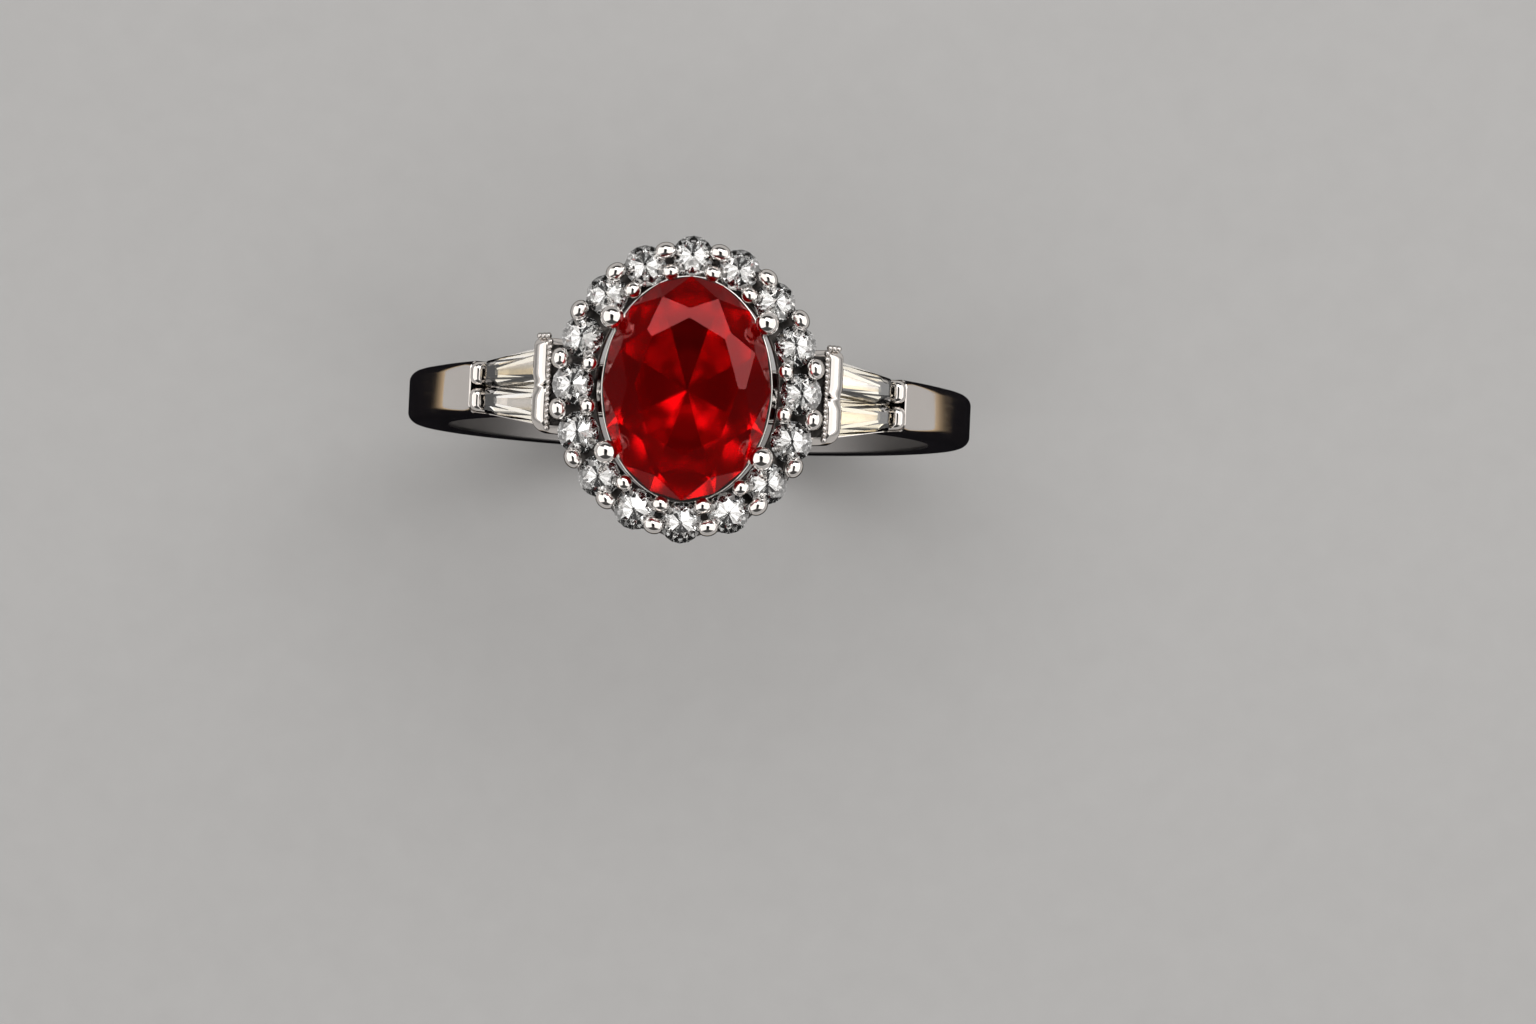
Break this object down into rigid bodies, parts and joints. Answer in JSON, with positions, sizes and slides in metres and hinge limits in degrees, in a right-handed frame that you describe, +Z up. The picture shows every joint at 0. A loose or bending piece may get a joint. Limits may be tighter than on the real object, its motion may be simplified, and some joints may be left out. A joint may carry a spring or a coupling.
{
  "type": "cocktail ring",
  "caption": "Cocktail ring: oval red centre stone in a halo of round clear stones, with tapered baguettes and bars on the shoulders of a plain band.",
  "frame": {"origin": "centre of the finger bore, midway along the shank's width", "axes": "+Y along the finger, +X to the right shoulder, +Z up to the centre stone"},
  "size_m": [0.0208, 0.011, 0.023],
  "materials": {
    "white_gold": "polished",
    "oval_stone": "gloss",
    "round_stones": "gloss",
    "tapered_stones": "gloss"
  },
  "bodies": {
    "root": {"shank": "white_gold", "lower_gallery_rail": "white_gold", "halo_plate": "white_gold", "seat_rail": "white_gold", "inner_beads": "white_gold", "outer_beads": "white_gold", "claw_1": "white_gold", "claw_2": "white_gold", "claw_3": "white_gold", "claw_4": "white_gold", "centre_stone": "oval_stone", "left_mount": "white_gold", "right_mount": "white_gold", "left_wide_bar": "white_gold", "right_wide_bar": "white_gold", "left_bridge": "white_gold", "right_bridge": "white_gold", "left_beaded_edge": "white_gold", "right_beaded_edge": "white_gold", "left_end_bar_front": "white_gold", "left_end_bar_back": "white_gold", "right_end_bar_front": "white_gold", "right_end_bar_back": "white_gold", "left_baguette_front": "tapered_stones", "left_baguette_back": "tapered_stones", "right_baguette_front": "tapered_stones", "right_baguette_back": "tapered_stones", "halo_stone_01": "round_stones", "halo_stone_02": "round_stones", "halo_stone_03": "round_stones", "halo_stone_04": "round_stones", "halo_stone_05": "round_stones", "halo_stone_06": "round_stones", "halo_stone_07": "round_stones", "halo_stone_08": "round_stones", "halo_stone_09": "round_stones", "halo_stone_10": "round_stones", "halo_stone_11": "round_stones", "halo_stone_12": "round_stones", "halo_stone_13": "round_stones", "halo_stone_14": "round_stones", "halo_stone_15": "round_stones", "halo_stone_16": "round_stones"}
  },
  "joints": []
}
